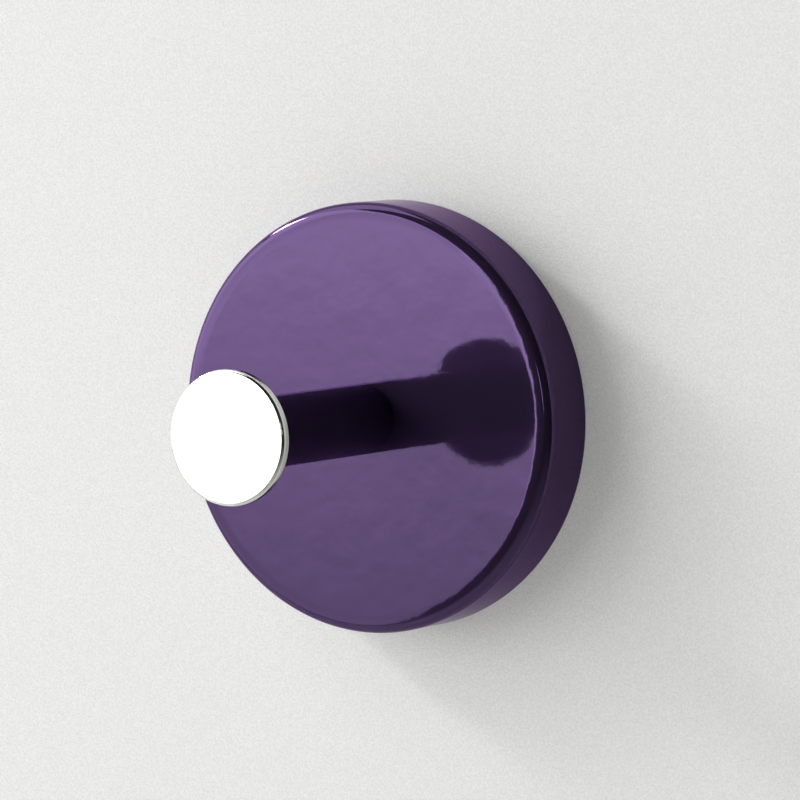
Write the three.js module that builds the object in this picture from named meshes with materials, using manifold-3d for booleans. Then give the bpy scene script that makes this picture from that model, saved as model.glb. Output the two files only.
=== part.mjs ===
// Round wall hook with a concealed fixing.
//
// A wall plate is screwed to the wall. A turned, lacquered rose drops over the plate and is locked
// to it by a grub screw underneath, so that no fixing shows. A straight peg stands out of the
// rose's centre, held by one screw from behind, and a chromed cap on the peg's end keeps the loop
// of a robe or towel from slipping off. Nothing moves in use.
//
// Millimetres. The wall is the plane Y = 0, the front faces -Y and +Z is up. The origin is the
// middle of the hook on the wall. Most pieces are turned about the peg's axis, so their outlines
// are drawn as (radius, distance out from the wall), and a negative distance lies in the wall.

import * as THREE from 'three';
import { mergeVertices } from 'three/addons/utils/BufferGeometryUtils.js';
import Module from 'manifold-3d';

const wasm = await Module();
wasm.setup();

// Rose
const roseRadius = 27.5;
const roseDepth = 9;
const roseSideWall = 3.2;
const roseFaceWall = 2.6;
const roseEdgeRadius = 1.35;
const roseRimChamfer = 0.3;
const roseMouthChamfer = 0.6;
const roseFloorFillet = 0.8;
const roseSeatRadius = 6.2;
const roseSeatHeight = 0.6;

// Peg
const pegRadius = 4.5;
const pegLength = 30.05;
const pegEndChamfer = 0.15;
const pegSpigotRadius = 3.4;
const pegSpigotLength = 1.5;
const pegThreadDepth = 11;
const pegDrillTip = 1.4;

// End cap
const capRadius = 8.4;
const capThickness = 1.4;
const capEdgeRadius = 0.6;
const capSpigotRadius = 2.5;
const capSpigotLength = 6;
const capSpigotChamfer = 0.5;

// Peg screw and its washers, M5
const pegScrewRadius = 2.5;
const pegScrewLength = 14;
const pegScrewHeadRadius = 4.75;
const pegScrewHeadHeight = 2.75;
const pegScrewCrownRadius = 2.6;
const pegScrewChamfer = 0.5;
const pegScrewSocketRadius = 1.73;
const pegScrewSocketDepth = 1.8;
const plainWasherRadius = 5;
const plainWasherThickness = 1;
const springWasherRadius = 4.6;
const springWasherThickness = 1.2;
const springWasherGap = 0.8;
const springWasherCutAngle = 0.5;

// Wall plate
const plateHoleRadius = 7;
const plateFrontChamfer = 0.6;
const plateGrooveDepth = 1.2;
const plateSlotSpacing = 30;
const plateSlotTravel = 3.4;

// Wall screws
const wallScrewRadius = 2;
const wallScrewLength = 35;
const wallScrewTipLength = 6;
const wallScrewHeadRadius = 4;
const wallScrewHeadEdge = 0.3;
const wallScrewSunk = 0.2;
const recessArmRadius = 2.2;
const recessArmWidth = 0.8;
const recessDepth = 1.7;
const recessFloorRadius = 0.9;

// Wall plugs
const plugRadius = 3;
const plugLength = 30;
const plugSunk = 2.5;
const plugRibDepth = 0.4;
const plugRibPitch = 3.4;
const plugRibCount = 6;
const plugSplitWidth = 0.9;
const plugSplitLength = 22;
const plugTipLength = 3;
const plugFinHeight = 0.7;
const plugFinWidth = 0.9;
const plugFinLength = 5;

// Grub screw, M4 with a cone point and a hexagon socket
const grubRadius = 2;
const grubLength = 4;
const grubSocketRadius = 1.15;
const grubSocketDepth = 1.6;
const grubEndChamfer = 0.3;

// Clearances, and the overrun that every cut runs past a surface
const clearance = 0.3;
const plateFloorGap = 0.4;
const overrun = 1;
const weld = 1e-4;

// Counts of faces round each turned piece, and of steps in each half of an arc
const roseSides = 96;
const pegSides = 48;
const capSides = 64;
const plateSides = 72;
const screwSides = 24;
const plugSides = 20;
const hexSides = 6;
const arcSteps = 2;
const fineArcSteps = 3;

const finishes = {
  lacquer: { color: 0x5a2b7a, roughness: 0.12, metalness: 0 },
  chrome: { color: 0xe2e4e6, roughness: 0.05, metalness: 1 },
  zincPlate: { color: 0xb4b6b4, roughness: 0.45, metalness: 1 },
  plainSteel: { color: 0x9a9c9e, roughness: 0.35, metalness: 1 },
  blackSteel: { color: 0x2a2a2c, roughness: 0.5, metalness: 1 },
  greyNylon: { color: 0x8e9294, roughness: 0.6, metalness: 0 },
};

// Sizes that follow from the ones above
const roseBoreRadius = roseRadius - roseSideWall;
const roseFloorOut = roseDepth - roseFaceWall;
const roseSeatOut = roseFloorOut - roseSeatHeight;
const plateRadius = roseBoreRadius - clearance;
const plateThickness = roseFloorOut - plateFloorGap;
const plateGrooveOut = plateThickness / 2;
const pegScrewHoleRadius = pegScrewRadius + clearance;
const springWasherOut = roseSeatOut - plainWasherThickness;
const pegScrewHeadOut = springWasherOut - springWasherThickness;
const slotRadius = wallScrewRadius + clearance;
const wallScrewTopOut = plateThickness - wallScrewSunk;
// A right-angled cone keeps its clearance square to its own surface.
const coneClearance = clearance * Math.SQRT2;
const sinkRadius = wallScrewHeadRadius + wallScrewSunk + coneClearance;

// An outline as points, with neighbours that fall together made one.
function outlinePoints(outline, steps) {
  const points = outline.getPoints(steps).map((p) => new THREE.Vector2(p.x, -p.y));
  const apart = points.filter((p, i) => i === 0 || p.distanceTo(points[i - 1]) > weld);
  if (THREE.ShapeUtils.isClockWise(apart)) apart.reverse();
  return apart;
}

// An outline of (radius, distance out from the wall) turned about the Y axis.
function turned(outline, sides, steps = arcSteps) {
  return new THREE.LatheGeometry(outlinePoints(outline, steps), sides);
}

// A closed geometry as a solid that can be joined and cut.
function toSolid(geometry) {
  const bare = geometry.clone();
  bare.deleteAttribute('normal');
  bare.deleteAttribute('uv');
  const merged = mergeVertices(bare, weld);
  const corners = merged.index.array;
  const triangles = [];
  for (let i = 0; i < corners.length; i += 3) {
    const [a, b, c] = corners.subarray(i, i + 3);
    if (a !== b && b !== c && c !== a) triangles.push(a, b, c);
  }
  return new wasm.Manifold(new wasm.Mesh({
    numProp: 3,
    vertProperties: merged.attributes.position.array,
    triVerts: new Uint32Array(triangles),
  }));
}

function toGeometry(solid) {
  const mesh = solid.getMesh();
  const geometry = new THREE.BufferGeometry();
  geometry.setAttribute('position', new THREE.BufferAttribute(mesh.vertProperties, 3));
  geometry.setIndex(new THREE.BufferAttribute(mesh.triVerts, 1));
  geometry.computeVertexNormals();
  return geometry;
}

// A body with every tool cut out of it.
function cut(body, tools) {
  const solid = tools.reduce((rest, tool) => rest.subtract(toSolid(tool)), toSolid(body));
  return toGeometry(solid);
}

function join(body, additions) {
  const solid = additions.reduce((whole, piece) => whole.add(toSolid(piece)), toSolid(body));
  return toGeometry(solid);
}

// A prism about the Y axis, from one distance out from the wall to another.
function prism(radius, fromOut, toOut, sides) {
  const geometry = new THREE.CylinderGeometry(radius, radius, toOut - fromOut, sides);
  return geometry.translate(0, -(fromOut + toOut) / 2, 0);
}

// A turned cup: straight side, small rounded front edge, and a flat face with a raised seat
// behind it. The hole through the middle is stepped, for the peg's spigot and for its screw.
function roseBody() {
  const spigotHoleRadius = pegSpigotRadius + clearance;
  const spigotHoleOut = roseDepth - pegSpigotLength - clearance;
  const edgeCentre = roseRadius - roseEdgeRadius;
  const filletCentre = roseBoreRadius - roseFloorFillet;
  const outline = new THREE.Path()
    .moveTo(roseBoreRadius + roseMouthChamfer, 0)
    .lineTo(roseRadius - roseRimChamfer, 0)
    .lineTo(roseRadius, roseRimChamfer)
    .lineTo(roseRadius, roseDepth - roseEdgeRadius)
    .absarc(edgeCentre, roseDepth - roseEdgeRadius, roseEdgeRadius, 0, Math.PI / 2)
    .lineTo(spigotHoleRadius, roseDepth)
    .lineTo(spigotHoleRadius, spigotHoleOut)
    .lineTo(pegScrewHoleRadius, spigotHoleOut)
    .lineTo(pegScrewHoleRadius, roseSeatOut)
    .lineTo(roseSeatRadius, roseSeatOut)
    .lineTo(roseSeatRadius, roseFloorOut)
    .lineTo(filletCentre, roseFloorOut)
    .absarc(filletCentre, roseFloorOut - roseFloorFillet, roseFloorFillet, Math.PI / 2, 0, true)
    .lineTo(roseBoreRadius, roseMouthChamfer)
    .lineTo(roseBoreRadius + roseMouthChamfer, 0);
  return turned(outline, roseSides);
}

// The rose, drilled through the bottom of its side for the grub screw.
function rose() {
  const length = roseSideWall + 2 * overrun;
  const drill = new THREE.CylinderGeometry(
    grubRadius + clearance, grubRadius + clearance, length, screwSides);
  drill.rotateX(Math.PI / 2);
  drill.translate(0, -plateGrooveOut, -(roseBoreRadius + roseSideWall / 2));
  return cut(roseBody(), [drill]);
}

// A straight rod. A spigot centres it in the rose, a tapped hole behind takes the peg screw, and
// a plain hole in front takes the cap's spigot.
function peg() {
  const end = roseDepth + pegLength;
  const threadEnd = roseDepth + pegThreadDepth;
  const capHoleRadius = capSpigotRadius + clearance;
  const outline = new THREE.Path()
    .moveTo(0, threadEnd + pegDrillTip)
    .lineTo(pegScrewHoleRadius, threadEnd)
    .lineTo(pegScrewHoleRadius, roseDepth - pegSpigotLength)
    .lineTo(pegSpigotRadius, roseDepth - pegSpigotLength)
    .lineTo(pegSpigotRadius, roseDepth)
    .lineTo(pegRadius, roseDepth)
    .lineTo(pegRadius, end - pegEndChamfer)
    .lineTo(pegRadius - pegEndChamfer, end)
    .lineTo(capHoleRadius, end)
    .lineTo(capHoleRadius, end - capSpigotLength - clearance)
    .lineTo(0, end - capSpigotLength - clearance);
  return turned(outline, pegSides);
}

// A thin disc with a rounded edge, and a spigot that is pressed into the peg.
function endCap() {
  const back = roseDepth + pegLength;
  const front = back + capThickness;
  const edge = capRadius - capEdgeRadius;
  const outline = new THREE.Path()
    .moveTo(0, back - capSpigotLength)
    .lineTo(capSpigotRadius - capSpigotChamfer, back - capSpigotLength)
    .lineTo(capSpigotRadius, back - capSpigotLength + capSpigotChamfer)
    .lineTo(capSpigotRadius, back)
    .lineTo(edge, back)
    .absarc(edge, back + capEdgeRadius, capEdgeRadius, -Math.PI / 2, 0)
    .lineTo(capRadius, front - capEdgeRadius)
    .absarc(edge, front - capEdgeRadius, capEdgeRadius, 0, Math.PI / 2)
    .lineTo(0, front);
  return turned(outline, capSides, fineArcSteps);
}

// A button-head screw that pulls the peg against the rose from behind.
function pegScrew() {
  const headTop = pegScrewHeadOut - pegScrewHeadHeight;
  const tip = pegScrewHeadOut + pegScrewLength;
  const outline = new THREE.Path()
    .moveTo(0, headTop)
    .lineTo(pegScrewCrownRadius, headTop)
    .quadraticCurveTo(pegScrewHeadRadius, headTop, pegScrewHeadRadius, pegScrewHeadOut)
    .lineTo(pegScrewRadius, pegScrewHeadOut)
    .lineTo(pegScrewRadius, tip - pegScrewChamfer)
    .lineTo(pegScrewRadius - pegScrewChamfer, tip)
    .lineTo(0, tip);
  const socket = prism(pegScrewSocketRadius, headTop - overrun, headTop + pegScrewSocketDepth, hexSides);
  return cut(turned(outline, screwSides, arcSteps * 2), [socket]);
}

// A flat ring about the peg's axis.
function washer(radius, nearOut, farOut) {
  const outline = new THREE.Path()
    .moveTo(pegScrewHoleRadius, nearOut)
    .lineTo(radius, nearOut)
    .lineTo(radius, farOut)
    .lineTo(pegScrewHoleRadius, farOut)
    .lineTo(pegScrewHoleRadius, nearOut);
  return turned(outline, screwSides * 2);
}

function plainWasher() {
  return washer(plainWasherRadius, springWasherOut, roseSeatOut);
}

// The spring washer is pressed flat, so only its slanting split shows.
function springWasher() {
  const split = new THREE.BoxGeometry(
    springWasherGap, springWasherThickness + 2 * overrun, springWasherRadius + overrun);
  split.rotateZ(springWasherCutAngle);
  split.translate(
    0, -(pegScrewHeadOut + springWasherThickness / 2), (springWasherRadius + overrun) / 2);
  return cut(washer(springWasherRadius, pegScrewHeadOut, springWasherOut), [split]);
}

// The plate's rim carries a V groove for the grub screw's point.
function plateBody() {
  const near = plateGrooveOut - plateGrooveDepth;
  const far = plateGrooveOut + plateGrooveDepth;
  const outline = new THREE.Path()
    .moveTo(plateHoleRadius, 0)
    .lineTo(plateRadius, 0)
    .lineTo(plateRadius, near)
    .lineTo(plateRadius - plateGrooveDepth, plateGrooveOut)
    .lineTo(plateRadius, far)
    .lineTo(plateRadius, plateThickness - plateFrontChamfer)
    .lineTo(plateRadius - plateFrontChamfer, plateThickness)
    .lineTo(plateHoleRadius, plateThickness)
    .lineTo(plateHoleRadius, 0);
  return turned(outline, plateSides);
}

// A slot's outline: upright, with round ends, about the given X.
function slotShape(x, radius) {
  return new THREE.Shape()
    .absarc(x, plateSlotTravel / 2, radius, 0, Math.PI)
    .absarc(x, -plateSlotTravel / 2, radius, Math.PI, 2 * Math.PI)
    .closePath();
}

// The cutters for one screw slot: the slot itself, and a countersink all round its front. An
// extrusion along its own +Z is laid down so that it runs from its base out from the wall.
function slotCutters(x) {
  const slot = new THREE.ExtrudeGeometry(slotShape(x, slotRadius), {
    depth: plateThickness + 2 * overrun,
    bevelEnabled: false,
    curveSegments: screwSides / 4,
  });
  slot.rotateX(Math.PI / 2);
  slot.translate(0, overrun, 0);
  const sinkDepth = sinkRadius - slotRadius;
  const sink = new THREE.ExtrudeGeometry(slotShape(x, slotRadius), {
    depth: overrun,
    bevelEnabled: true,
    bevelSegments: 1,
    bevelThickness: sinkDepth,
    bevelSize: sinkDepth,
    curveSegments: screwSides / 4,
  });
  sink.rotateX(Math.PI / 2);
  sink.translate(0, -plateThickness, 0);
  return [slot, sink];
}

function wallPlate() {
  const side = plateSlotSpacing / 2;
  return cut(plateBody(), [...slotCutters(-side), ...slotCutters(side)]);
}

// One blade of a cross recess: a taper, drawn in the plane of X and the screw's axis.
function recessBlade(turn) {
  const blade = new THREE.Shape()
    .moveTo(-recessArmRadius, wallScrewTopOut + overrun)
    .lineTo(-recessArmRadius, wallScrewTopOut)
    .lineTo(-recessFloorRadius, wallScrewTopOut - recessDepth)
    .lineTo(recessFloorRadius, wallScrewTopOut - recessDepth)
    .lineTo(recessArmRadius, wallScrewTopOut)
    .lineTo(recessArmRadius, wallScrewTopOut + overrun);
  const geometry = new THREE.ExtrudeGeometry(blade, { depth: recessArmWidth, bevelEnabled: false });
  geometry.translate(0, 0, -recessArmWidth / 2);
  geometry.rotateX(Math.PI);
  return geometry.rotateY(turn);
}

// A countersunk wood screw with a cross recess and a gimlet point.
function wallScrew() {
  const coneOut = wallScrewTopOut - wallScrewHeadEdge;
  const neckOut = coneOut - (wallScrewHeadRadius - wallScrewRadius);
  const tipOut = wallScrewTopOut - wallScrewLength;
  const outline = new THREE.Path()
    .moveTo(0, wallScrewTopOut)
    .lineTo(wallScrewHeadRadius - wallScrewHeadEdge, wallScrewTopOut)
    .lineTo(wallScrewHeadRadius, coneOut)
    .lineTo(wallScrewRadius, neckOut)
    .lineTo(wallScrewRadius, tipOut + wallScrewTipLength)
    .lineTo(0, tipOut);
  return cut(turned(outline, screwSides), [recessBlade(0), recessBlade(Math.PI / 2)]);
}

// A ribbed nylon plug, sunk a little below the wall's surface. Its far part is split so that the
// screw spreads it, and two fins near its mouth keep it from turning.
function wallPlug() {
  const mouth = -plugSunk;
  const end = mouth - plugLength;
  const bore = wallScrewRadius + clearance;
  const outline = new THREE.Path().moveTo(bore, mouth).lineTo(plugRadius, mouth);
  const ribsFrom = end + plugTipLength + plugRibCount * plugRibPitch;
  for (let i = 0; i < plugRibCount; i++) {
    const out = ribsFrom - i * plugRibPitch;
    outline.lineTo(plugRadius, out);
    outline.lineTo(plugRadius - plugRibDepth, out);
  }
  outline.lineTo(plugRadius, end + plugTipLength);
  outline.lineTo(plugRadius - plugRibDepth, end);
  outline.lineTo(bore, end);
  outline.lineTo(bore, mouth);
  const split = new THREE.BoxGeometry(
    plugSplitWidth, plugSplitLength + overrun, 2 * (plugRadius + overrun));
  split.translate(0, -(end + (plugSplitLength - overrun) / 2), 0);
  const finReach = 2 * (plugRadius + plugFinHeight);
  const fins = new THREE.BoxGeometry(finReach, plugFinLength, plugFinWidth);
  fins.translate(0, -(mouth - plugFinLength / 2), 0);
  const drill = prism(bore, end - overrun, mouth + overrun, plugSides);
  return cut(join(turned(outline, plugSides), [fins]), [drill, split]);
}

// A grub screw about its own Y axis, its point at the origin and its socket at the far end.
function grubScrew() {
  const outline = new THREE.Path()
    .moveTo(0, 0)
    .lineTo(grubRadius, -grubRadius)
    .lineTo(grubRadius, grubEndChamfer - grubLength)
    .lineTo(grubRadius - grubEndChamfer, -grubLength)
    .lineTo(0, -grubLength);
  const socket = prism(grubSocketRadius, -grubLength - overrun, grubSocketDepth - grubLength, hexSides);
  return cut(turned(outline, screwSides), [socket]);
}

function piece(name, geometry, finish) {
  const mesh = new THREE.Mesh(geometry, new THREE.MeshStandardMaterial(finish));
  mesh.name = name;
  return mesh;
}

// What is fixed to the wall, or in it.
function fixing() {
  const group = new THREE.Group();
  group.add(piece('wall_plate', wallPlate(), finishes.zincPlate));
  const sides = { left: -plateSlotSpacing / 2, right: plateSlotSpacing / 2 };
  for (const [side, x] of Object.entries(sides)) {
    const screw = piece(`wall_screw_${side}`, wallScrew(), finishes.plainSteel);
    const plug = piece(`wall_plug_${side}`, wallPlug(), finishes.greyNylon);
    screw.position.x = x;
    plug.position.x = x;
    group.add(screw, plug);
  }
  return group;
}

// What is assembled on the bench and dropped over the plate.
function front() {
  const group = new THREE.Group();
  group.add(piece('rose', rose(), finishes.lacquer));
  group.add(piece('peg', peg(), finishes.lacquer));
  group.add(piece('end_cap', endCap(), finishes.chrome));
  group.add(piece('peg_screw', pegScrew(), finishes.plainSteel));
  group.add(piece('plain_washer', plainWasher(), finishes.plainSteel));
  group.add(piece('spring_washer', springWasher(), finishes.plainSteel));
  return group;
}

// The grub screw points up into the plate's groove from below.
function lock() {
  const grub = piece('grub_screw', grubScrew(), finishes.blackSteel);
  grub.rotation.x = -Math.PI / 2;
  grub.position.set(0, -plateGrooveOut, -(plateRadius - plateGrooveDepth + coneClearance));
  return grub;
}

const hook = new THREE.Group();
hook.add(fixing(), front(), lock());

export default hook;
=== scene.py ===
"""The looks of a round wall hook: gloss lacquer on turned brass, a chromed cap, and the plated
fixing behind. Metres, in the part's own frame: the wall is the plane Y = 0, the front faces -Y,
and +Z is up. "Out" is a distance from the wall towards the room, so a point lies at Y = -out.
Outlines and profiles are worked out in millimetres."""
import math

import bmesh
import bpy
import numpy as np
from mathutils import Matrix, Vector


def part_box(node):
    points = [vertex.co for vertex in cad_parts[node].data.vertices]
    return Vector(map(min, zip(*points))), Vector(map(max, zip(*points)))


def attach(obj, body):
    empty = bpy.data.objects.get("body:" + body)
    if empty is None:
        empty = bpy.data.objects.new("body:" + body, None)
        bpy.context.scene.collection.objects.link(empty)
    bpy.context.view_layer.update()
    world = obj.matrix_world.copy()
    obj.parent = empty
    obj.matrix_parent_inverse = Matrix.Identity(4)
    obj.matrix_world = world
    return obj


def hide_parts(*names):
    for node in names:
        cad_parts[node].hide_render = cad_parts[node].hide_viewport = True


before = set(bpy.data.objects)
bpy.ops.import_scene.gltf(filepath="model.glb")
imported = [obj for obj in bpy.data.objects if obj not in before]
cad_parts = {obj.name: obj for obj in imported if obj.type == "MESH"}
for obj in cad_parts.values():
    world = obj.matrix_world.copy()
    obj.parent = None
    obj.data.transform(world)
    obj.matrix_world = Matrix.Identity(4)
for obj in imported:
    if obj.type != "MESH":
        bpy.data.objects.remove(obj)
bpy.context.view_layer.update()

MM = 0.001
WELD = 1e-7
TURN = 2 * math.pi
LEFT_RIGHT = ("left", "right")

# The camera, fitted to the outlines of the rose, the peg and the cap in the 800 x 800 photograph,
# with the pixel on which the frame's origin falls.
PHOTO_SIDE_PX = 800
PHOTO_ORIGIN_PX = (400.7, 413.6)
CAMERA_AZIMUTH = math.radians(31.8)
CAMERA_ELEVATION = math.radians(5.0)
CAMERA_DISTANCE = 0.707
CAMERA_FOCAL_PX = 5504
CAMERA_CLIP = (0.01, 50)
SENSOR_MM = 36

# The stage, in metres.
WALL_REACH = 1.5
FLOOR_REACH = 3
FLOOR_DROP = 0.8

# How far the wall stands back from the part, the radius of its opening behind the rose, and the
# grain of the two paints, in millimetres.
WALL_GAP = 0.05
WALL_OPENING = 25.5
WALL_GRAIN = 0.28
FLOOR_GRAIN = 2

# Each paint's two colours, and how much lighter it looks than its lamps make it.
WALL_COLOUR = "#e2e2e0"
WALL_SHADE = "#d5d5d3"
WALL_LIFT = 0.26
FLOOR_COLOUR = "#e0e0de"
FLOOR_SHADE = "#dadad8"
FLOOR_LIFT = 0.65

# The backdrop, and the light of the dim room before the wall.
BACKDROP_COLOUR = "#ededeb"
ROOM_LIGHT = 0.03

# The window: its turn to the left, its distance, and how far its frame lies behind its pane.
WINDOW_AZIMUTH = math.radians(50)
WINDOW_DISTANCE = 1.6
WINDOW_FRAME_SETBACK = 0.002
# The frame's outline and the pane's, to the right and up, as shares of the window's distance.
WINDOW_FRAME = ((0.387, -0.15), (0.447, -0.1), (0.472, -0.03), (0.487, 0.1), (0.46, 0.17),
                (0.37, 0.27), (0.29, 0.38), (0.17, 0.6), (-0.1, 0.7), (-0.4, 0.58),
                (-0.48, 0.3), (-0.48, -0.05), (-0.46, -0.05))
WINDOW_PANE = ((0.322, -0.45), (0.447, 0.11), (0.4, 0.14), (0.1, 0.13), (-0.05, 0.03),
               (-0.5, -0.02), (-0.5, -0.45))
# The frame's radiance, and the pane's at heights that are such shares too.
FRAME_RADIANCE = 4.3
PANE_RADIANCES = ((-0.45, 1.8), (-0.174, 1.5), (-0.144, 1.6), (-0.113, 2.15), (-0.066, 3.1),
                  (-0.039, 3.85), (0.029, 3.4), (0.113, 3.0))

# Each lamp's direction from the part, distance, width and height, and radiance.
LAMPS = {
    "key": ((-0.822, -0.205, 0.532), 2.3, (0.95, 0.2), 62),
    "ceiling": ((-0.56, -0.3, 0.77), 1.8, (1.28, 1.28), 2.6),
    "left": ((-0.985, -0.1, 0.14), 1.5, (0.33, 1.0), 3),
    "strip": ((0.087, -0.99, 0.03), 0.8, (0.05, 0.1), 6),
    "behind_right": ((0.5, 0.75, 0.45), 0.8, (0.7, 0.7), 2.2),
    "behind_left": ((-0.8, 0.55, 0.2), 0.8, (0.5, 0.7), 1.6),
}

# Roundings and hidden sizes, in millimetres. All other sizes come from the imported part.
ROSE_EDGE = 1.33
ROSE_DROOP = 0.14
ROSE_DROOP_WIDTH = 1.9
ROSE_DROOP_ROUND = 14
ROSE_RIM_EDGE = 0.3
ROSE_MOUTH_EDGE = 0.5
ROSE_SIDE_WALL = 3.2
ROSE_FACE_WALL = 2.6
ROSE_FLOOR_FILLET = 0.8
ROSE_SEAT_RADIUS = 6.2
ROSE_SEAT_HEIGHT = 0.6
SPIGOT_HOLE_RADIUS = 3.7
SPIGOT_HOLE_DEPTH = 1.8
SCREW_HOLE_RADIUS = 2.8
PEG_SPIGOT_RADIUS = 3.4
PEG_THREAD_DEPTH = 11
PEG_DRILL_TIP = 1.4
PEG_END_EDGE = 0.15
CAP_FRONT_EDGE = 0.38
CAP_BACK_EDGE = 0.3
CAP_SPIGOT_RADIUS = 2.5
CAP_SPIGOT_EDGE = 0.5
CAP_HOLE_RADIUS = 2.8
CAP_HOLE_DEPTH = 6.3
PLATE_HOLE_RADIUS = 7
PLATE_GROOVE_DEPTH = 1.2
PLATE_EDGE = 0.35
PLATE_FRONT_CHAMFER = 0.6
SLOT_RADIUS = 2.3
SLOT_TRAVEL = 3.4
SINK_RADIUS = 4.624
WALL_SCREW_RADIUS = 2
WALL_SCREW_TIP = 6
WALL_SCREW_PLAIN = 4
WALL_SCREW_PITCH = 1.8
WALL_SCREW_THREAD = 0.65
WALL_NECK_ROUND = 0.8
WALL_TIP_ROUND = 1.5
WALL_HEAD_EDGE = 0.3
RECESS_ARM = 2.2
RECESS_WIDTH = 0.8
RECESS_DEPTH = 1.7
RECESS_FLOOR_ARM = 0.9
RECESS_FLOOR_WIDTH = RECESS_WIDTH * 2 / 3
PLUG_RADIUS = 3
PLUG_BORE_RADIUS = 2.3
PLUG_RIB_PITCH = 3.4
PLUG_RIB_DEPTH = 0.4
PLUG_ROUND = 0.08
PLUG_MOUTH_EDGE = 0.3
PLUG_TIP = 3
PLUG_SPLIT_WIDTH = 0.9
PLUG_SPLIT_LENGTH = 22
PLUG_FIN_WIDTH = 0.9
PLUG_FIN_END_WIDTH = 0.6
PLUG_FIN_LENGTH = 5
PEG_SCREW_RADIUS = 2.5
PEG_SCREW_HEAD_HEIGHT = 2.75
PEG_SCREW_CROWN = 2.1
PEG_SCREW_END = 0.5
PEG_SCREW_PITCH = 0.8
PEG_SCREW_THREAD = 0.45
PEG_SOCKET_RADIUS = 1.73
PEG_SOCKET_DEPTH = 1.8
GRUB_PITCH = 0.7
GRUB_THREAD = 0.4
GRUB_END = 0.3
GRUB_CONE_EDGE = 0.1
GRUB_SOCKET_RADIUS = 1.15
GRUB_SOCKET_DEPTH = 1.6
SPRING_GAP = 0.8
CLEARANCE = 0.3
OVERRUN = 1
BREAK_EDGE = 0.12

# The number of rings on a plug.
PLUG_RIBS = 6

# How far each cross recess is turned, and how far the spring washer's split leans, in radians.
RECESS_TURNS = {"left": 0.3, "right": -0.2}
SPRING_CUT_ANGLE = 0.5

# The share of a wood screw's pitch that stays low, and the largest share of a screw's radius that
# its thread takes away, which counts at a pointed end.
WALL_SCREW_FLAT = 0.45
THREAD_LIMIT = 0.45

# The lacquer's waves, clouds and dust nibs, in millimetres, its two colours, and the tint of the
# metal below it at a glancing angle.
PEEL_LENGTH = 3.4
PEEL_HEIGHT = 0.025
CLOUD_LENGTH = 9
NIB_SPACING = 7
NIB_SIZE = 0.35
NIB_HEIGHT = 0.015
LACQUER_DEEP = "#463557"
LACQUER_PALE = "#4a385d"
LACQUER_EDGE = "#eacef9"

# The chrome's wipe marks and haze, in millimetres, the marks' turn, and the chrome's two colours
# and its range of roughness.
MARK_LENGTH = 6
MARK_WIDTH = 0.15
MARK_DEPTH = 0.002
HAZE_LENGTH = 4
MARK_TURN = math.radians(38)
CHROME_DEEP = "#d3d3cc"
CHROME_PALE = "#dddddb"
CHROME_ROUGHNESS = (0.04, 0.09)

# The nylon's grain, flow marks and inner glow, in millimetres, its two colours and its range of
# roughness.
NYLON_GRAIN = 0.25
NYLON_GRAIN_HEIGHT = 0.02
NYLON_FLOW_LENGTH = 6
NYLON_GLOW_DEPTH = 0.5
NYLON_DEEP = "#85898c"
NYLON_PALE = "#999da0"
NYLON_ROUGHNESS = (0.4, 0.6)

# The height of a metal's and a paint's grain as a share of its size, the share by which a metal's
# grain changes its roughness, and the parts of a noise's range that the patterns spread out.
METAL_GRAIN_HEIGHT = 1 / 12
PAINT_GRAIN_HEIGHT = 1 / 4
METAL_GRAIN_SPREAD = 0.2
GRAIN_RANGE = (0.3, 0.7)
SPECKLE_RANGE = (0.35, 0.65)

# How finely arcs and circles are divided.
ARC_STEPS = 10
FINE_SIDES = 256
ROD_SIDES = 96
SCREW_SIDES = 48
THREAD_STEPS = 14

# How far the extra points beside an arc stand from it, in millimetres, and the turn between two
# faces from which their edge is shaded sharp.
HOLD = 0.02
SHARP_TURN = math.radians(50)


def outline(corners, closed=False):
    """The outline through (radius, out, rounding) corners, in millimetres. A corner with a
    rounding becomes the arc that touches both of its sides: it starts and ends at rounding times
    the tangent of half the turn from the corner. A point just before and after each arc keeps
    smooth shading inside it."""
    points = []
    count = len(corners)
    for i, (r, out, rounding) in enumerate(corners):
        corner = np.array([r, out], float)
        if not rounding or (not closed and i in (0, count - 1)):
            points.append(corner)
            continue
        to_last = np.array(corners[i - 1][:2], float) - corner
        to_next = np.array(corners[(i + 1) % count][:2], float) - corner
        to_last /= np.linalg.norm(to_last)
        to_next /= np.linalg.norm(to_next)
        opening = math.acos(np.clip(to_last @ to_next, -1, 1))
        reach = rounding / math.tan(opening / 2)
        middle = to_last + to_next
        centre = corner + middle / np.linalg.norm(middle) * rounding / math.sin(opening / 2)
        start = corner + to_last * reach - centre
        end = corner + to_next * reach - centre
        share = np.linspace(0, 1, ARC_STEPS + 1)[:, None]
        swing = math.pi - opening
        arc = np.sin((1 - share) * swing) * start + np.sin(share * swing) * end
        points.append(centre + start + to_last * HOLD)
        points.extend(centre + arc / math.sin(swing))
        points.append(centre + end + to_next * HOLD)
    return np.array(points)


def turn(profile, sides):
    """The rows of a turned surface: point (r, out) of the profile, in millimetres, at the angle a
    lies at (r cos a, -out, r sin a)."""
    angle = np.arange(sides) * TURN / sides
    r, out = profile[:, :1], profile[:, 1:]
    return np.stack([r * np.cos(angle), -out + 0 * angle, r * np.sin(angle)], axis=-1) * MM


def quads_between(index):
    """The quads between neighbouring rows of a grid of point numbers. Each row meets itself."""
    beside = np.roll(index, -1, axis=1)
    return np.stack([index[:-1], beside[:-1], beside[1:], index[1:]], axis=-1).reshape(-1, 4)


def placed(name, data):
    """A new object with the given data, in the scene and at the origin."""
    piece = bpy.data.objects.new(name, data)
    bpy.context.scene.collection.objects.link(piece)
    return piece


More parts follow.
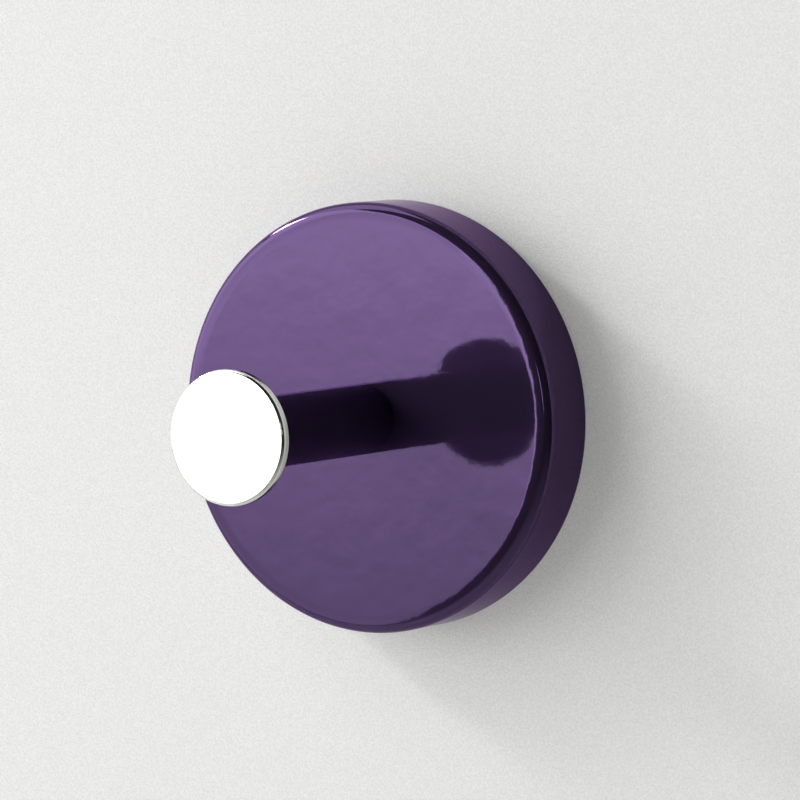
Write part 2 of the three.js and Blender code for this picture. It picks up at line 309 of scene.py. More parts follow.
def skin(name, rows, ring=False):
    """A closed mesh over rows of points. Each row runs round and meets itself, and neighbouring
    rows are joined by quads. The first and last rows are poles, or meet where ring is true."""
    count, sides = rows.shape[:2]
    index = np.arange(count * sides).reshape(count, sides)
    if ring:
        index = np.vstack([index, index[:1]])
    mesh = bpy.data.meshes.new(name)
    mesh.from_pydata(rows.reshape(-1, 3).tolist(), [], quads_between(index).tolist())
    shell = bmesh.new()
    shell.from_mesh(mesh)
    bmesh.ops.remove_doubles(shell, verts=shell.verts, dist=WELD)
    bmesh.ops.recalc_face_normals(shell, faces=shell.faces)
    shell.to_mesh(mesh)
    shell.free()
    mesh.shade_smooth()
    mesh.set_sharp_from_angle(angle=SHARP_TURN)
    return placed(name, mesh)


def turned(name, corners, sides=FINE_SIDES, ring=False):
    """A closed turned piece whose profile is the outline through the given corners."""
    return skin(name, turn(outline(corners, closed=ring), sides), ring)


def shaped(piece, cuts=(), additions=()):
    """Joins closed meshes to a piece, then cuts others out of it, and keeps only the result."""
    tools = [(tool, "UNION") for tool in additions] + [(tool, "DIFFERENCE") for tool in cuts]
    for tool, operation in tools:
        step = piece.modifiers.new(tool.name, "BOOLEAN")
        step.operation = operation
        step.solver = "EXACT"
        step.object = tool
    solid = piece.evaluated_get(bpy.context.evaluated_depsgraph_get())
    mesh = bpy.data.meshes.new_from_object(solid)
    piece.modifiers.clear()
    piece.data = mesh
    mesh.set_sharp_from_angle(angle=SHARP_TURN)
    for tool, _ in tools:
        bpy.data.objects.remove(tool)
    return piece


def millimetres(node):
    """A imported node's lowest and highest corner, in millimetres."""
    low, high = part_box(node)
    return np.array(low) / MM, np.array(high) / MM


def loft(sections):
    """Rows of points through flat outlines: each section is an outline of (x, z) points and the
    distance out at which it lies, in millimetres. The first and the last close on their
    middles."""
    shapes = np.array([shape for shape, out in sections], float)
    outs = np.array([out for shape, out in sections], float)
    shapes = np.concatenate([
        np.broadcast_to(shapes[:1].mean(axis=1, keepdims=True), shapes[:1].shape),
        shapes,
        np.broadcast_to(shapes[-1:].mean(axis=1, keepdims=True), shapes[-1:].shape),
    ])
    outs = np.concatenate([outs[:1], outs, outs[-1:]])[:, None] + 0 * shapes[..., 0]
    return np.stack([shapes[..., 0], -outs, shapes[..., 1]], axis=-1) * MM


def circle(radius, sides=SCREW_SIDES):
    """Points (r cos a, r sin a) at equal steps of the angle a."""
    angle = np.arange(sides) * TURN / sides
    return radius * np.stack([np.cos(angle), np.sin(angle)], axis=-1)


def slot_outline(radius, travel, x):
    """Two half circles, the upper one raised and the lower one dropped by half the travel."""
    half = np.linspace(0, math.pi, SCREW_SIDES // 2)
    angle = np.concatenate([half, half + math.pi])
    lift = np.concatenate([half * 0 + travel / 2, half * 0 - travel / 2])
    return np.stack([x + radius * np.cos(angle), radius * np.sin(angle) + lift], axis=-1)


def rectangle(half_x, half_z):
    """The corners (+-half_x, +-half_z), from the lower right one round."""
    corners = np.array([[1, -1], [1, 1], [-1, 1], [-1, -1]], float)
    return corners * (half_x, half_z)


def cross(arm, half_width):
    """The outline of two equal bars across each other, from (arm, -half_width) round."""
    side = np.array([[arm, -half_width], [arm, half_width], [half_width, half_width]], float)
    quarter = np.array([[0, 1], [-1, 0]], float)
    parts = [side]
    for _ in range(3):
        parts.append(parts[-1] @ quarter)
    return np.concatenate(parts)


def spun(points, angle):
    """Outline points turned about the middle."""
    turning = np.array([[math.cos(angle), math.sin(angle)], [-math.sin(angle), math.cos(angle)]])
    return points @ turning


def stood(rows, out, height=0.0):
    """Rows made along the Y axis, stood upright: what was a distance out becomes a height, and
    the axis lies the given distance out from the wall."""
    x, y, z = rows[..., 0], rows[..., 1], rows[..., 2]
    return np.stack([x, z - out * MM, height * MM - y], axis=-1)


def threaded(corners, pitch, depth, start, end, flat=0.0):
    """Rows of a turned surface with a right-handed thread between two distances out. At angle a
    the thread's phase is out / pitch - a / turn. The surface is lowest at whole phases, by the
    depth, and untouched half way between, and the ridge's share t of the height is eased to
    3 t^2 - 2 t^3. The share of the pitch given by flat stays low, as between the narrow ridges of
    a wood screw. The thread runs in and out over one pitch."""
    profile = outline(corners)
    length = np.concatenate([[0], np.cumsum(np.hypot(*np.diff(profile, axis=0).T))])
    fine = np.arange(0, length[-1], pitch / THREAD_STEPS)
    fine_out = np.interp(fine, length, profile[:, 1])
    low, high = min(start, end), max(start, end)
    stations = np.union1d(length, fine[(fine_out > low) & (fine_out < high)])
    r = np.interp(stations, length, profile[:, 0])[:, None]
    out = np.interp(stations, length, profile[:, 1])[:, None]
    angle = np.arange(SCREW_SIDES) * TURN / SCREW_SIDES
    phase = (out / pitch - angle / TURN) % 1
    ridge = np.clip((1 - np.abs(2 * phase - 1) - flat) / (1 - flat), 0, 1)
    ridge = ridge * ridge * (3 - 2 * ridge)
    fade = np.clip((out - low) / pitch, 0, 1) * np.clip((high - out) / pitch, 0, 1)
    r = r - np.minimum(depth * (1 - ridge) * fade, THREAD_LIMIT * r)
    return np.stack([r * np.cos(angle), -out + 0 * r, r * np.sin(angle)], axis=-1) * MM


def rose_piece():
    """The turned cup, drilled from below for the grub screw. Its flat face falls off a little
    before the rounded edge, as a polished edge does."""
    low, high = millimetres("rose")
    radius, depth = high[0], -low[1]
    bore = radius - ROSE_SIDE_WALL
    floor = depth - ROSE_FACE_WALL
    seat = floor - ROSE_SEAT_HEIGHT
    spigot_floor = depth - SPIGOT_HOLE_DEPTH
    rose = turned("rose_lacquered", [
        (bore, 0, ROSE_MOUTH_EDGE),
        (radius, 0, ROSE_RIM_EDGE),
        (radius, depth - ROSE_DROOP, ROSE_EDGE),
        (radius - ROSE_DROOP_WIDTH, depth, ROSE_DROOP_ROUND),
        (SPIGOT_HOLE_RADIUS, depth, 0),
        (SPIGOT_HOLE_RADIUS, spigot_floor, 0),
        (SCREW_HOLE_RADIUS, spigot_floor, 0),
        (SCREW_HOLE_RADIUS, seat, BREAK_EDGE),
        (ROSE_SEAT_RADIUS, seat, BREAK_EDGE),
        (ROSE_SEAT_RADIUS, floor, BREAK_EDGE),
        (bore, floor, ROSE_FLOOR_FILLET),
    ], ring=True)
    grub_low, grub_high = millimetres("grub_screw")
    hole = circle((grub_high[0] - grub_low[0]) / 2 + CLEARANCE)
    rows = loft([(hole, -radius - OVERRUN), (hole, OVERRUN - bore)])
    return shaped(rose, cuts=[skin("grub_hole", stood(rows, -(grub_low[1] + grub_high[1]) / 2))])


def peg_piece():
    """The straight rod, with the spigot and the holes that its neighbours sit in."""
    low, high = millimetres("peg")
    depth = -millimetres("rose")[0][1]
    radius, end = high[0], -low[1]
    thread_end = depth + PEG_THREAD_DEPTH
    return turned("peg_lacquered", [
        (0, thread_end + PEG_DRILL_TIP, 0),
        (SCREW_HOLE_RADIUS, thread_end, 0),
        (SCREW_HOLE_RADIUS, -high[1], BREAK_EDGE),
        (PEG_SPIGOT_RADIUS, -high[1], BREAK_EDGE),
        (PEG_SPIGOT_RADIUS, depth, 0),
        (radius, depth, BREAK_EDGE),
        (radius, end, PEG_END_EDGE),
        (CAP_HOLE_RADIUS, end, BREAK_EDGE),
        (CAP_HOLE_RADIUS, end - CAP_HOLE_DEPTH, 0),
        (0, end - CAP_HOLE_DEPTH, 0),
    ], sides=ROD_SIDES)


def cap_piece():
    """The chromed disc: flat in front and behind, round at its edge, with its spigot."""
    low, high = millimetres("end_cap")
    back = -millimetres("peg")[0][1]
    radius, front = high[0], -low[1]
    return turned("cap_chromed", [
        (0, -high[1], 0),
        (CAP_SPIGOT_RADIUS, -high[1], CAP_SPIGOT_EDGE),
        (CAP_SPIGOT_RADIUS, back, 0),
        (radius, back, CAP_BACK_EDGE),
        (radius, front, CAP_FRONT_EDGE),
        (0, front, 0),
    ])


def plate_piece():
    """The wall plate: a turned disc with a V groove round its rim and a wide hole in its middle,
    cut through by two upright slots that are countersunk all round."""
    low, high = millimetres("wall_plate")
    radius, thick = high[0], -low[1]
    middle = thick / 2
    plate = turned("plate_zinc", [
        (PLATE_HOLE_RADIUS, 0, BREAK_EDGE),
        (radius, 0, PLATE_EDGE),
        (radius, middle - PLATE_GROOVE_DEPTH, BREAK_EDGE),
        (radius - PLATE_GROOVE_DEPTH, middle, BREAK_EDGE),
        (radius, middle + PLATE_GROOVE_DEPTH, BREAK_EDGE),
        (radius, thick - PLATE_FRONT_CHAMFER, BREAK_EDGE),
        (radius - PLATE_FRONT_CHAMFER, thick, BREAK_EDGE),
        (PLATE_HOLE_RADIUS, thick, BREAK_EDGE),
    ], ring=True)
    slots = []
    for side in LEFT_RIGHT:
        screw_low, screw_high = millimetres("wall_screw_" + side)
        x = (screw_low[0] + screw_high[0]) / 2
        straight = slot_outline(SLOT_RADIUS, SLOT_TRAVEL, x)
        wide = slot_outline(SINK_RADIUS, SLOT_TRAVEL, x)
        rows = loft([(straight, -OVERRUN), (straight, thick - SINK_RADIUS + SLOT_RADIUS),
                     (wide, thick), (wide, thick + OVERRUN)])
        slots.append(skin("slot_" + side, rows))
    return shaped(plate, cuts=slots)


def wall_screw_piece(side):
    """A countersunk wood screw: plain neck, a coarse thread that runs out at the gimlet point,
    and a cross recess that narrows towards its floor."""
    low, high = millimetres("wall_screw_" + side)
    x = (low[0] + high[0]) / 2
    head, top, tip = (high[0] - low[0]) / 2, -low[1], -high[1]
    cone = top - WALL_HEAD_EDGE
    neck = cone - (head - WALL_SCREW_RADIUS)
    rows = threaded([
        (0, top, 0),
        (head, top, BREAK_EDGE),
        (head, cone, BREAK_EDGE / 2),
        (WALL_SCREW_RADIUS, neck, WALL_NECK_ROUND),
        (WALL_SCREW_RADIUS, tip + WALL_SCREW_TIP, WALL_TIP_ROUND),
        (0, tip, 0),
    ], WALL_SCREW_PITCH, WALL_SCREW_THREAD, tip, neck - WALL_SCREW_PLAIN, flat=WALL_SCREW_FLAT)
    opening = spun(cross(RECESS_ARM, RECESS_WIDTH / 2), RECESS_TURNS[side])
    floor_cross = spun(cross(RECESS_FLOOR_ARM, RECESS_FLOOR_WIDTH / 2), RECESS_TURNS[side])
    recess = skin("recess", loft([
        (opening, top + OVERRUN), (opening, top), (floor_cross, top - RECESS_DEPTH)]))
    screw = shaped(skin("wall_screw_steel_" + side, rows), cuts=[recess])
    screw.data.transform(Matrix.Translation((x * MM, 0, 0)))
    return screw


def plug_piece(side):
    """A ribbed nylon plug: saw-toothed rings, two fins at the mouth, and a long split."""
    low, high = millimetres("wall_plug_" + side)
    x = (low[0] + high[0]) / 2
    mouth, end = -low[1], -high[1]
    ribs_from = end + PLUG_TIP + PLUG_RIBS * PLUG_RIB_PITCH
    core = PLUG_RADIUS - PLUG_RIB_DEPTH
    corners = [(0, mouth, 0), (PLUG_RADIUS, mouth, PLUG_MOUTH_EDGE)]
    for out in ribs_from - np.arange(PLUG_RIBS) * PLUG_RIB_PITCH:
        corners += [(PLUG_RADIUS, out, PLUG_ROUND), (core, out - PLUG_ROUND, PLUG_ROUND)]
    corners += [(PLUG_RADIUS, end + PLUG_TIP, PLUG_ROUND), (core, end, PLUG_ROUND), (0, end, 0)]
    plug = skin("wall_plug_nylon_" + side, turn(outline(corners), SCREW_SIDES))
    reach = (high[0] - low[0]) / 2
    fins = skin("fins", loft([
        (rectangle(reach, PLUG_FIN_WIDTH / 2), mouth),
        (rectangle(reach, PLUG_FIN_WIDTH / 2), mouth - PLUG_FIN_LENGTH / 2),
        (rectangle(PLUG_RADIUS, PLUG_FIN_END_WIDTH / 2), mouth - PLUG_FIN_LENGTH),
    ]))
    bore = circle(PLUG_BORE_RADIUS)
    drill = skin("bore", loft([(bore, end - OVERRUN), (bore, mouth + OVERRUN)]))
    gap = rectangle(PLUG_SPLIT_WIDTH / 2, PLUG_RADIUS + OVERRUN)
    split = skin("split", loft([(gap, end - OVERRUN), (gap, end + PLUG_SPLIT_LENGTH)]))
    plug = shaped(plug, additions=[fins], cuts=[drill, split])
    plug.data.transform(Matrix.Translation((x * MM, 0, 0)))
    return plug


def peg_screw_piece():
    """A button-head screw with a hexagon socket."""
    low, high = millimetres("peg_screw")
    head, top, tip = high[0], -high[1], -low[1]
    seat = top + PEG_SCREW_HEAD_HEIGHT
    rows = threaded([
        (0, top, 0),
        (head, top, PEG_SCREW_CROWN),
        (head, seat, BREAK_EDGE),
        (PEG_SCREW_RADIUS, seat, BREAK_EDGE),
        (PEG_SCREW_RADIUS, tip, PEG_SCREW_END),
        (0, tip, 0),
    ], PEG_SCREW_PITCH, PEG_SCREW_THREAD, seat + PEG_SCREW_PITCH, tip)
    hexagon = circle(PEG_SOCKET_RADIUS, sides=6)
    socket = skin("socket", loft([(hexagon, top - OVERRUN), (hexagon, top + PEG_SOCKET_DEPTH)]))
    return shaped(skin("peg_screw_steel", rows), cuts=[socket])


def grub_piece():
    """A cone-point grub screw with a hexagon socket, standing upright under the rose."""
    low, high = millimetres("grub_screw")
    radius, length = (high[0] - low[0]) / 2, high[2] - low[2]
    out = -(low[1] + high[1]) / 2
    rows = threaded([
        (0, 0, 0),
        (radius, -radius, GRUB_CONE_EDGE),
        (radius, -length, GRUB_END),
        (0, -length, 0),
    ], GRUB_PITCH, GRUB_THREAD, -radius, -length)
    hexagon = circle(GRUB_SOCKET_RADIUS, sides=6)
    socket = loft([(hexagon, -length - OVERRUN), (hexagon, GRUB_SOCKET_DEPTH - length)])
    screw = skin("grub_screw_black", stood(rows, out, high[2]))
    return shaped(screw, cuts=[skin("socket", stood(socket, out, high[2]))])


def washer(name, node):
    """A flat ring with broken edges, as wide and thick as its node, that clears the screw."""
    low, high = millimetres(node)
    return turned(name, [
        (SCREW_HOLE_RADIUS, -high[1], BREAK_EDGE),
        (high[0], -high[1], BREAK_EDGE),
        (high[0], -low[1], BREAK_EDGE),
        (SCREW_HOLE_RADIUS, -low[1], BREAK_EDGE),
    ], sides=ROD_SIDES, ring=True)


def spring_washer_piece():
    """A flat ring with a slanting split: the gap's middle moves sideways with the distance out."""
    low, high = millimetres("spring_washer")
    near, far, radius = -high[1], -low[1], high[0]
    lean = math.tan(SPRING_CUT_ANGLE) * ((far - near) / 2 + OVERRUN)
    half_gap = SPRING_GAP / 2 / math.cos(SPRING_CUT_ANGLE)
    gap = rectangle(half_gap, radius / 2) + (0, radius / 2 + OVERRUN)
    rows = loft([(gap - (lean, 0), near - OVERRUN), (gap + (lean, 0), far + OVERRUN)])
    ring = washer("spring_washer_steel", "spring_washer")
    return shaped(ring, cuts=[skin("gap", rows)])


def dressed(piece, node, material):
    """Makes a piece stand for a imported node, on the part's one body."""
    piece.data.materials.clear()
    piece.data.materials.append(material)
    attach(piece, "root")
    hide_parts(node)


def linear(hex_colour):
    """An sRGB hex colour as linear RGBA: (c + 0.055) / 1.055 to the power 2.4 above the toe."""
    srgb = np.array([int(hex_colour[i:i + 2], 16) for i in (1, 3, 5)]) / 255
    toe = srgb / 12.92
    curve = ((srgb + 0.055) / 1.055) ** 2.4
    return (*np.where(srgb <= 0.04045, toe, curve).tolist(), 1.0)


def add(tree, kind, inputs=None, **settings):
    """Adds a node, with its settings, and fills each input with a value or another's output."""
    made = tree.nodes.new(kind)
    for name, value in settings.items():
        setattr(made, name, value)
    for name, value in (inputs or {}).items():
        if isinstance(value, bpy.types.NodeSocket):
            tree.links.new(value, made.inputs[name])
        else:
            made.inputs[name].default_value = value
    return made


def new_material(name):
    """An empty material and its node tree."""
    material = bpy.data.materials.new(name)
    material.use_nodes = True
    material.node_tree.nodes.clear()
    return material, material.node_tree


def finish_material(material, tree, shader):
    """Puts the shader on the material's surface."""
    add(tree, "ShaderNodeOutputMaterial", {"Surface": shader.outputs[0]})
    return material


def candy_lacquer():
    """Clear purple lacquer sprayed over polished metal. The metal shines back through the purple,
    sharp and tinted, and the colour's own grains add a dark violet body. The lacquer's thin
    surface gloss mirrors the room without colour. The spray flowed out with a faint orange peel,
    a wave some millimetres long that bends both reflections, and a few fine dust nibs lie in
    the surface."""
    material, tree = new_material("candy_purple_lacquer")
    place = add(tree, "ShaderNodeTexCoord").outputs["Object"]
    peel = add(tree, "ShaderNodeTexNoise", {
        "Vector": place, "Scale": 1 / (PEEL_LENGTH * MM), "Detail": 3.0, "Roughness": 0.45})
    wave = add(tree, "ShaderNodeBump", {
        "Height": peel.outputs["Fac"], "Strength": 1.0, "Distance": PEEL_HEIGHT * MM})
    cells = add(tree, "ShaderNodeTexVoronoi", {
        "Vector": place, "Scale": 1 / (NIB_SPACING * MM), "Randomness": 1.0})
    nib = add(tree, "ShaderNodeMapRange", {
        "Value": cells.outputs["Distance"], "From Min": 0.0, "From Max": NIB_SIZE / NIB_SPACING,
        "To Min": 1.0, "To Max": 0.0}, interpolation_type="SMOOTHSTEP")
    speck = add(tree, "ShaderNodeBump", {
        "Height": nib.outputs["Result"], "Strength": 0.6, "Distance": NIB_HEIGHT * MM,
        "Normal": wave.outputs["Normal"]})
    cloud = add(tree, "ShaderNodeTexNoise", {
        "Vector": place, "Scale": 1 / (CLOUD_LENGTH * MM), "Detail": 3.0})
    tint = add(tree, "ShaderNodeMix", {
        "Factor": cloud.outputs["Fac"], "A": linear(LACQUER_DEEP), "B": linear(LACQUER_PALE)},
        data_type="RGBA")
    shader = add(tree, "ShaderNodeBsdfPrincipled", {
        "Base Color": tint.outputs["Result"],
        "Metallic": 0.67,
        "Roughness": 0.07,
        "Specular IOR Level": 0.0,
        "Specular Tint": linear(LACQUER_EDGE),
        "Coat Weight": 0.15,
        "Coat Roughness": 0.03,
        "Coat IOR": 1.5,
        "Normal": wave.outputs["Normal"],
        "Coat Normal": speck.outputs["Normal"],
    })
    return finish_material(material, tree, shader)


def grained_metal(name, colour, shade, roughness, grain, spot):
    """A metal with a fine grain and larger cloudy spots, both sizes in millimetres. The spots run
    between two colours, and the grain spreads the roughness and lifts the surface a little."""
    material, tree = new_material(name)
    place = add(tree, "ShaderNodeTexCoord").outputs["Object"]
    fine = add(tree, "ShaderNodeTexNoise", {
        "Vector": place, "Scale": 1 / (grain * MM), "Detail": 5.0, "Roughness": 0.6})
    broad = add(tree, "ShaderNodeTexNoise", {
        "Vector": place, "Scale": 1 / (spot * MM), "Detail": 3.0, "Roughness": 0.5})
    tint = add(tree, "ShaderNodeMix", {
        "Factor": broad.outputs["Fac"], "A": linear(shade), "B": linear(colour)},
        data_type="RGBA")
    rough = add(tree, "ShaderNodeMapRange", {
        "Value": fine.outputs["Fac"], "From Min": GRAIN_RANGE[0], "From Max": GRAIN_RANGE[1],
        "To Min": roughness * (1 - METAL_GRAIN_SPREAD),
        "To Max": roughness * (1 + METAL_GRAIN_SPREAD)})
    bump = add(tree, "ShaderNodeBump", {
        "Height": fine.outputs["Fac"], "Strength": 0.5,
        "Distance": grain * METAL_GRAIN_HEIGHT * MM})
    shader = add(tree, "ShaderNodeBsdfPrincipled", {
        "Base Color": tint.outputs["Result"],
        "Metallic": 1.0,
        "Roughness": rough.outputs["Result"],
        "Normal": bump.outputs["Normal"],
    })
    return finish_material(material, tree, shader)


def chrome():
    """Bright chrome plate over polished metal: a clear mirror. Handling left hair-fine wipe marks,
    drawn coarser than real so that they show, and a faint haze."""
    material, tree = new_material("polished_chrome_plate")
    place = add(tree, "ShaderNodeTexCoord").outputs["Object"]
    turn_marks = add(tree, "ShaderNodeMapping", {
        "Vector": place, "Rotation": (0.0, MARK_TURN, 0.0),
        "Scale": (1 / (MARK_LENGTH * MM), 1 / (MARK_LENGTH * MM), 1 / (MARK_WIDTH * MM))})
    marks = add(tree, "ShaderNodeTexNoise", {
        "Vector": turn_marks.outputs["Vector"], "Scale": 1.0, "Detail": 2.0, "Roughness": 0.5})
    haze = add(tree, "ShaderNodeTexNoise", {
        "Vector": place, "Scale": 1 / (HAZE_LENGTH * MM), "Detail": 3.0})
    rough = add(tree, "ShaderNodeMapRange", {
        "Value": haze.outputs["Fac"], "From Min": GRAIN_RANGE[0], "From Max": GRAIN_RANGE[1],
        "To Min": CHROME_ROUGHNESS[0], "To Max": CHROME_ROUGHNESS[1]})
    bump = add(tree, "ShaderNodeBump", {
        "Height": marks.outputs["Fac"], "Strength": 0.3, "Distance": MARK_DEPTH * MM})
    tint = add(tree, "ShaderNodeMix", {
        "Factor": haze.outputs["Fac"], "A": linear(CHROME_DEEP), "B": linear(CHROME_PALE)},
        data_type="RGBA")
    shader = add(tree, "ShaderNodeBsdfPrincipled", {
        "Base Color": tint.outputs["Result"],
        "Metallic": 1.0,
        "Roughness": rough.outputs["Result"],
        "Normal": bump.outputs["Normal"],
    })
    return finish_material(material, tree, shader)


def grey_nylon():
    """Injection-moulded nylon: waxy, slightly translucent grey with a fine spark-eroded grain."""
    material, tree = new_material("moulded_grey_nylon")
    place = add(tree, "ShaderNodeTexCoord").outputs["Object"]
    grain = add(tree, "ShaderNodeTexNoise", {
        "Vector": place, "Scale": 1 / (NYLON_GRAIN * MM), "Detail": 4.0, "Roughness": 0.6})
    flow = add(tree, "ShaderNodeTexNoise", {
        "Vector": place, "Scale": 1 / (NYLON_FLOW_LENGTH * MM), "Detail": 2.0})
    tint = add(tree, "ShaderNodeMix", {
        "Factor": flow.outputs["Fac"], "A": linear(NYLON_DEEP), "B": linear(NYLON_PALE)},
        data_type="RGBA")
    rough = add(tree, "ShaderNodeMapRange", {
        "Value": grain.outputs["Fac"], "To Min": NYLON_ROUGHNESS[0],
        "To Max": NYLON_ROUGHNESS[1]})
    bump = add(tree, "ShaderNodeBump", {
        "Height": grain.outputs["Fac"], "Strength": 0.4, "Distance": NYLON_GRAIN_HEIGHT * MM})
    shader = add(tree, "ShaderNodeBsdfPrincipled", {
        "Base Color": tint.outputs["Result"],
        "Roughness": rough.outputs["Result"],
        "IOR": 1.53,
        "Subsurface Weight": 0.15,
        "Subsurface Radius": (1.0, 1.0, 1.0),
        "Subsurface Scale": NYLON_GLOW_DEPTH * MM,
        "Normal": bump.outputs["Normal"],
    })
    return finish_material(material, tree, shader)


def look(position, target):
    """The rotation of a lamp or camera that looks from its position at the target, level."""
    return (Vector(target) - Vector(position)).to_track_quat("-Z", "Y")


def soft_lamp(name, direction, distance, size, radiance):
    """A rectangular lamp in the given direction from the origin, facing it."""
    lamp = bpy.data.lights.new(name, "AREA")
    lamp.shape = "RECTANGLE"
    lamp.size, lamp.size_y = size
    # The power that gives a panel of this area the wanted radiance: pi times area times radiance.
    lamp.energy = math.pi * size[0] * size[1] * radiance
    piece = placed(name, lamp)
    spot = Vector(direction).normalized() * distance
    piece.location = spot
    piece.rotation_mode = "QUATERNION"
    piece.rotation_quaternion = look(spot, (0, 0, 0))
    piece.visible_camera = False


def set_camera():
    """A long lens at the photograph's angle, aimed so that the origin falls on its pixel."""
    a, e = CAMERA_AZIMUTH, CAMERA_ELEVATION
    back = Vector((math.sin(a) * math.cos(e), -math.cos(a) * math.cos(e), math.sin(e)))
    right = Vector((math.cos(a), math.sin(a), 0))
    up = back.cross(right)
    spot = back * CAMERA_DISTANCE
    px = CAMERA_DISTANCE / CAMERA_FOCAL_PX
    half = PHOTO_SIDE_PX / 2
    aim = right * (half - PHOTO_ORIGIN_PX[0]) * px + up * (PHOTO_ORIGIN_PX[1] - half) * px
    data = bpy.data.cameras.new("camera")
    data.sensor_width = SENSOR_MM
    data.lens = CAMERA_FOCAL_PX / PHOTO_SIDE_PX * SENSOR_MM
    data.clip_start, data.clip_end = CAMERA_CLIP
    camera = placed("camera", data)
    camera.location = spot
    camera.rotation_mode = "QUATERNION"
    camera.rotation_quaternion = look(spot, aim)
    bpy.context.scene.camera = camera


def facing(mesh, direction):
    """Turns a flat mesh over where its faces look away from the direction."""
    if mesh.polygons[0].normal.dot(direction) < 0:
        mesh.flip_normals()


def sheet(name, corners, material):
    """A flat mesh of one face with the given material, placed in the scene."""
    mesh = bpy.data.meshes.new(name)
    mesh.from_pydata(corners, [], [range(len(corners))])
    mesh.materials.append(material)
    piece = placed(name, mesh)
    return piece


def seen(tree, place=None):
    """1 for rays from the camera, from mirrors and through clear pieces, and 0 for the rest.
    Where a place or a direction is given, mirrors and clear pieces count only behind the wall,
    where its Y is above 0."""
    path = add(tree, "ShaderNodeLightPath").outputs
    second = add(tree, "ShaderNodeMath", {
        0: path["Is Glossy Ray"], 1: path["Is Transmission Ray"]}, operation="MAXIMUM")
    if place is not None:
        split = add(tree, "ShaderNodeSeparateXYZ", {"Vector": place})
        behind = add(tree, "ShaderNodeMath", {0: split.outputs["Y"], 1: 0.0},
                     operation="GREATER_THAN")
        second = add(tree, "ShaderNodeMath", {0: second.outputs[0], 1: behind.outputs[0]},
                     operation="MULTIPLY")
    return add(tree, "ShaderNodeMath", {
        0: path["Is Camera Ray"], 1: second.outputs[0]}, operation="MAXIMUM").outputs[0]


def paint(name, colour, shade, lift, grain_size, dim_before=False):
    """Matt rolled paint with a fine grain and speckle. The camera and mirrors see the paint
    lighter than its lamps make it, which keeps the backdrop pale without more light on the
    object. The shadow on the paint stays. Where dim_before is true, mirrors see it lighter only
    behind the wall, and before the wall they see it as its lamps make it."""
    material, tree = new_material(name)
    place = add(tree, "ShaderNodeTexCoord").outputs["Object"]
    grain = add(tree, "ShaderNodeTexNoise", {
        "Vector": place, "Scale": 1 / (grain_size * MM), "Detail": 3.0, "Roughness": 0.6})
    bump = add(tree, "ShaderNodeBump", {
        "Height": grain.outputs["Fac"], "Strength": 0.8,
        "Distance": grain_size * PAINT_GRAIN_HEIGHT * MM})
    speckle = add(tree, "ShaderNodeMapRange", {
        "Value": grain.outputs["Fac"], "From Min": SPECKLE_RANGE[0],
        "From Max": SPECKLE_RANGE[1]})
    tint = add(tree, "ShaderNodeMix", {
        "Factor": speckle.outputs["Result"], "A": linear(shade), "B": linear(colour)},
        data_type="RGBA")
    matt = add(tree, "ShaderNodeBsdfDiffuse", {
        "Color": tint.outputs["Result"], "Normal": bump.outputs["Normal"]})
    shown = seen(tree, place if dim_before else None)
    lifted = add(tree, "ShaderNodeMath", {0: shown, 1: lift}, operation="MULTIPLY")
    glow = add(tree, "ShaderNodeEmission", {
        "Color": tint.outputs["Result"], "Strength": lifted.outputs[0]})
    both = add(tree, "ShaderNodeAddShader", {0: matt.outputs[0], 1: glow.outputs[0]})
    return material, tree, both


def wall():
    """A painted wall just behind the plane Y = 0, with a round opening where the rose hides it,
    so that the fixing shows from behind. Its back doesn't show. Its points lie on the opening's
    circle and, at the same angles a, on a square: at half the side over the larger of |cos a|
    and |sin a|."""
    angle = np.arange(FINE_SIDES) * TURN / FINE_SIDES
    square = WALL_REACH / np.maximum(np.abs(np.cos(angle)), np.abs(np.sin(angle)))
    radii = np.stack([np.full(FINE_SIDES, WALL_OPENING * MM), square])
    rows = np.stack([radii * np.cos(angle), 0 * radii + WALL_GAP * MM, radii * np.sin(angle)], -1)
    index = np.arange(2 * FINE_SIDES).reshape(2, FINE_SIDES)
    mesh = bpy.data.meshes.new("wall")
    mesh.from_pydata(rows.reshape(-1, 3).tolist(), [], quads_between(index).tolist())
    facing(mesh, Vector((0, -1, 0)))
    piece = placed("wall", mesh)
    material, tree, matt = paint(
        "matt_wall_paint", WALL_COLOUR, WALL_SHADE, WALL_LIFT, WALL_GRAIN)
    clear = add(tree, "ShaderNodeBsdfTransparent")
    path = add(tree, "ShaderNodeLightPath")
    side = add(tree, "ShaderNodeNewGeometry")
    behind = add(tree, "ShaderNodeMath", {
        0: path.outputs["Is Camera Ray"], 1: side.outputs["Backfacing"]}, operation="MULTIPLY")
    both = add(tree, "ShaderNodeMixShader", {
        0: behind.outputs[0], 1: matt.outputs[0], 2: clear.outputs[0]})
    mesh.materials.append(finish_material(material, tree, both))


def floor():
    """A pale floor under the wall, far enough down to stay out of the photograph's view."""
    material, tree, matt = paint(
        "pale_floor_paint", FLOOR_COLOUR, FLOOR_SHADE, FLOOR_LIFT, FLOOR_GRAIN, dim_before=True)
    finish_material(material, tree, matt)
    side, level = FLOOR_REACH, -FLOOR_DROP
    sheet("floor", [(-side, -side, level), (side, -side, level), (side, side, level),
                    (-side, side, level)], material)


def glowing(name, radiance):
    """A surface that shines from its front only. The radiance is a number, or a function that
    builds it in the material's tree."""
    material, tree = new_material(name)
    if callable(radiance):
        radiance = radiance(tree)
    glow = add(tree, "ShaderNodeEmission", {"Color": linear("#ffffff"), "Strength": radiance})
    dark = add(tree, "ShaderNodeEmission", {"Strength": 0.0})
    side = add(tree, "ShaderNodeNewGeometry")
    front = add(tree, "ShaderNodeMixShader", {
        0: side.outputs["Backfacing"], 1: glow.outputs[0], 2: dark.outputs[0]})
    return finish_material(material, tree, front)


